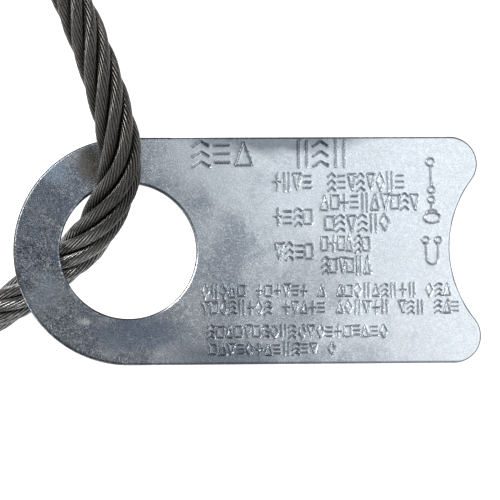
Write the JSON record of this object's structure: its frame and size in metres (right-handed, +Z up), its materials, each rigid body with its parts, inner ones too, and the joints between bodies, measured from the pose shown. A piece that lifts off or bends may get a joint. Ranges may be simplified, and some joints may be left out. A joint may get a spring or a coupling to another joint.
{
  "type": "wire rope sling",
  "caption": "Wire rope lifting sling with soft eyes held by swaged sleeves, and a sheet metal capacity tag that hangs on an eye.",
  "frame": {"origin": "centre of the sling's footprint where it lies, at ground level, the body rope left out", "axes": "+Z up from the ground, +Y from the eyes towards the sleeves, +X across the two eyes towards the free end of the tag"},
  "size_m": [0.3012, 0.2915, 0.0239],
  "materials": {
    "tag_zinc": "zinc plated sheet, mottled, with stamped marks",
    "rope_steel": "bright steel wire, oiled and darkened",
    "sleeve_steel": "pressed steel, satin"
  },
  "bodies": {
    "sling": {"sleeve_1": "sleeve_steel", "sleeve_2": "sleeve_steel", "eye_1_throat": "rope_steel", "eye_2_throat": "rope_steel", "eye_1_loop": "rope_steel", "eye_2_loop": "rope_steel", "body_rope": "rope_steel", "end_1_core": "rope_steel", "end_1_strand_1": "rope_steel", "end_1_strand_2": "rope_steel", "end_1_strand_3": "rope_steel", "end_1_strand_4": "rope_steel", "end_1_strand_5": "rope_steel", "end_1_strand_6": "rope_steel", "end_1_tail_1": "rope_steel", "end_1_tail_2": "rope_steel", "end_1_tail_3": "rope_steel", "end_1_tail_4": "rope_steel", "end_1_tail_5": "rope_steel", "end_1_tail_6": "rope_steel", "end_2_core": "rope_steel", "end_2_strand_1": "rope_steel", "end_2_strand_2": "rope_steel", "end_2_strand_3": "rope_steel", "end_2_strand_4": "rope_steel", "end_2_strand_5": "rope_steel", "end_2_strand_6": "rope_steel", "end_2_tail_1": "rope_steel", "end_2_tail_2": "rope_steel", "end_2_tail_3": "rope_steel", "end_2_tail_4": "rope_steel", "end_2_tail_5": "rope_steel", "end_2_tail_6": "rope_steel"},
    "tag": {"capacity_tag": "tag_zinc"}
  },
  "joints": [
    {"name": "tag_swivel", "type": "hinge", "parent": "sling", "child": "tag", "pos_m": [0.06225, -0.08078, 0.01123], "axis": [0.086, 0.1381, 0.9867], "range_deg": [-75, 0]}
  ]
}
